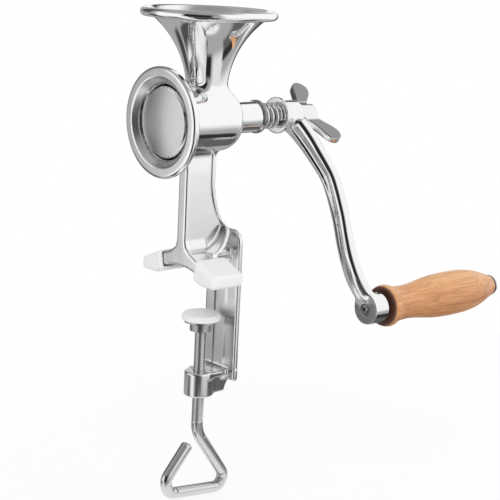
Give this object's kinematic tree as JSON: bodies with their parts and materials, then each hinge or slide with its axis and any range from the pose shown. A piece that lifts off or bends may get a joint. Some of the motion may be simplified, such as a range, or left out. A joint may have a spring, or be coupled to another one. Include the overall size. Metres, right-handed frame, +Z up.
{
  "type": "manual coffee grinder",
  "caption": "Hand-cranked burr mill with a flared hopper, bowed crank with a wooden grip and wing nut, on a C-frame that clamps to a table edge with a looped screw.",
  "frame": {"origin": "where the clamp screw's axis meets the top of the table, level with the undersides of the foot caps", "axes": "+Z up along the clamp screw's axis, +X along the shaft from the discharge flange towards the crank, +Y to the left seen from the flange's side looking along +X"},
  "size_m": [0.2734, 0.1237, 0.3335],
  "materials": {
    "polished_casting": "mirror-polished cast iron with a chrome-like plating",
    "burr_steel": "ground tool steel with cut teeth",
    "polished_burr": "polished dome, ground teeth behind it",
    "shaft_steel": "turned steel",
    "auger_iron": "tinned cast worm",
    "bush_brass": "turned brass",
    "washer_chrome": "plated steel",
    "spring_steel": "plated spring wire",
    "polished_crank": "mirror-polished casting",
    "polished_nut": "mirror-polished casting",
    "pin_steel": "turned steel with a dimple in its end",
    "oiled_wood": "turned hardwood, oiled, reddish brown",
    "cap_chrome": "domed plated cap",
    "screw_steel": "plated rod with a rolled thread",
    "pad_iron": "plated casting",
    "soft_white": "soft white plastic, slightly translucent look"
  },
  "bodies": {
    "stand": {"body_casting": "polished_casting", "fixed_burr_ring": "burr_steel", "neck_bush": "bush_brass", "thrust_washer": "bush_brass", "spring_washer": "washer_chrome", "left_foot_cap": "soft_white", "right_foot_cap": "soft_white"},
    "rotor": {"drive_shaft": "shaft_steel", "feed_auger": "auger_iron", "auger_pin": "shaft_steel", "burr_cone": "polished_burr"},
    "crank": {"crank_arm": "polished_crank", "grip_pin": "pin_steel", "grip_washer": "washer_chrome", "grip_end_cap": "cap_chrome", "pressure_spring": "spring_steel"},
    "grip": {"wooden_grip": "oiled_wood"},
    "nut": {"wing_nut": "polished_nut"},
    "pad": {"clamp_pad": "pad_iron", "pad_cap": "soft_white"},
    "screw": {"clamp_screw": "screw_steel"}
  },
  "joints": [
    {"name": "crank_spin", "type": "hinge", "parent": "stand", "child": "rotor", "pos_m": [0.02, 0, 0.104], "axis": [1, 0, 0], "continuous": true},
    {"name": "crank_hub_slide", "type": "slide", "parent": "rotor", "child": "crank", "axis": [-1, 0, 0], "range_m": [0, 0.002], "deforming": ["pressure_spring"]},
    {"name": "wing_nut_turn", "type": "hinge", "parent": "crank", "child": "nut", "pos_m": [0.085, 0, 0.104], "axis": [-1, 0, 0], "range_deg": [0, 577]},
    {"name": "grip_spin", "type": "hinge", "parent": "crank", "child": "grip", "pos_m": [0.16, -0.06406, -0.02172], "axis": [1, 0, 0], "continuous": true},
    {"name": "clamp_travel", "type": "slide", "parent": "stand", "child": "pad", "axis": [0, 0, 1], "range_m": [-0.0261, 0.0215]},
    {"name": "clamp_screw_turn", "type": "hinge", "parent": "pad", "child": "screw", "pos_m": [0, 0, -0.04], "axis": [0, 0, 1], "range_deg": [-7488, 6048]}
  ],
  "couplings": [
    {"joint": "wing_nut_turn", "follows": "crank_hub_slide", "rad_per_m": 5026.5},
    {"joint": "clamp_travel", "follows": "clamp_screw_turn", "m_per_rad": 0.00019894}
  ]
}
